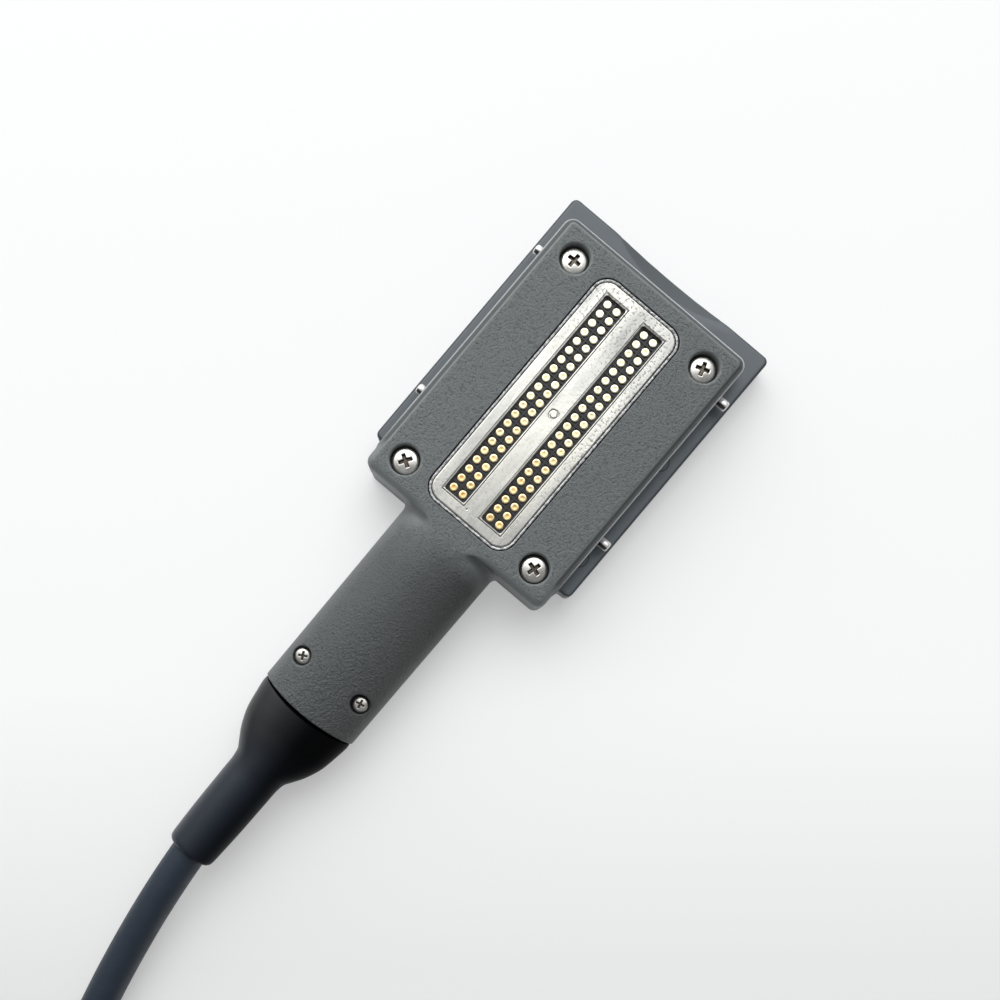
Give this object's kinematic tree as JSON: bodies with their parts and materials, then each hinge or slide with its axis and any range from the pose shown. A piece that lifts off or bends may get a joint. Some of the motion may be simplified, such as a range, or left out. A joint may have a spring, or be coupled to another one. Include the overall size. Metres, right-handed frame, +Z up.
{
  "type": "ultrasound transducer probe",
  "caption": "Ultrasound transducer lead: flat connector with gold contact field and guide pins, booted neck, lead put away in a tied hank, and a curved-array scan head.",
  "frame": {"origin": "on the connector's resting face, its back, under the centre of the contact field", "axes": "+Y to the connector's front edge, away from the lead; +Z up, out of the contact side; +X to the right seen from above"},
  "size_m": [0.0732, 0.5347, 0.0253],
  "materials": {
    "housing_plastic": "fine moulded texture",
    "cover_plastic": "smooth, satin",
    "frame_metal": "die-cast, satin",
    "sealant": "cured bead, glossy",
    "insulator_plastic": "moulded",
    "contact_gold": "gold-plated",
    "board_laminate": "lacquered",
    "screw_steel": "nickel-plated",
    "pin_steel": "ground",
    "ferrule_brass": "plain",
    "lead_jacket": "satin",
    "wire_bundle": "taped",
    "boot_rubber": "satin",
    "tie_fabric": "woven",
    "head_plastic": "satin",
    "nose_plastic": "satin",
    "lens_rubber": "smooth",
    "array_ceramic": "diced",
    "backing_resin": "cast",
    "flex_film": "film"
  },
  "bodies": {
    "root": {"front_shell": "housing_plastic", "rear_cover": "cover_plastic", "contact_frame": "frame_metal", "frame_seal": "sealant", "insulator_left": "insulator_plastic", "insulator_right": "insulator_plastic", "contacts_left": "contact_gold", "contacts_right": "contact_gold", "contact_board": "board_laminate", "shell_screws": "screw_steel", "neck_screws": "screw_steel", "guide_pin_front_left": "pin_steel", "guide_pin_front_right": "pin_steel", "guide_pin_rear_left": "pin_steel", "guide_pin_rear_right": "pin_steel", "lead_ferrule": "ferrule_brass", "lead_root": "lead_jacket", "wire_fan": "wire_bundle", "connector_boot": "boot_rubber", "lead_tube": "lead_jacket", "lead_tail": "lead_jacket", "lead_hank": "lead_jacket", "hank_ties": "tie_fabric", "head_lower_shell": "head_plastic", "head_upper_shell": "head_plastic", "head_nose": "nose_plastic", "acoustic_lens": "lens_rubber", "array_strip": "array_ceramic", "array_backing": "backing_resin", "array_flex": "flex_film", "head_board": "board_laminate", "head_ferrule": "ferrule_brass", "head_lead_root": "lead_jacket", "head_wires": "wire_bundle", "head_boot": "boot_rubber"}
  },
  "joints": []
}
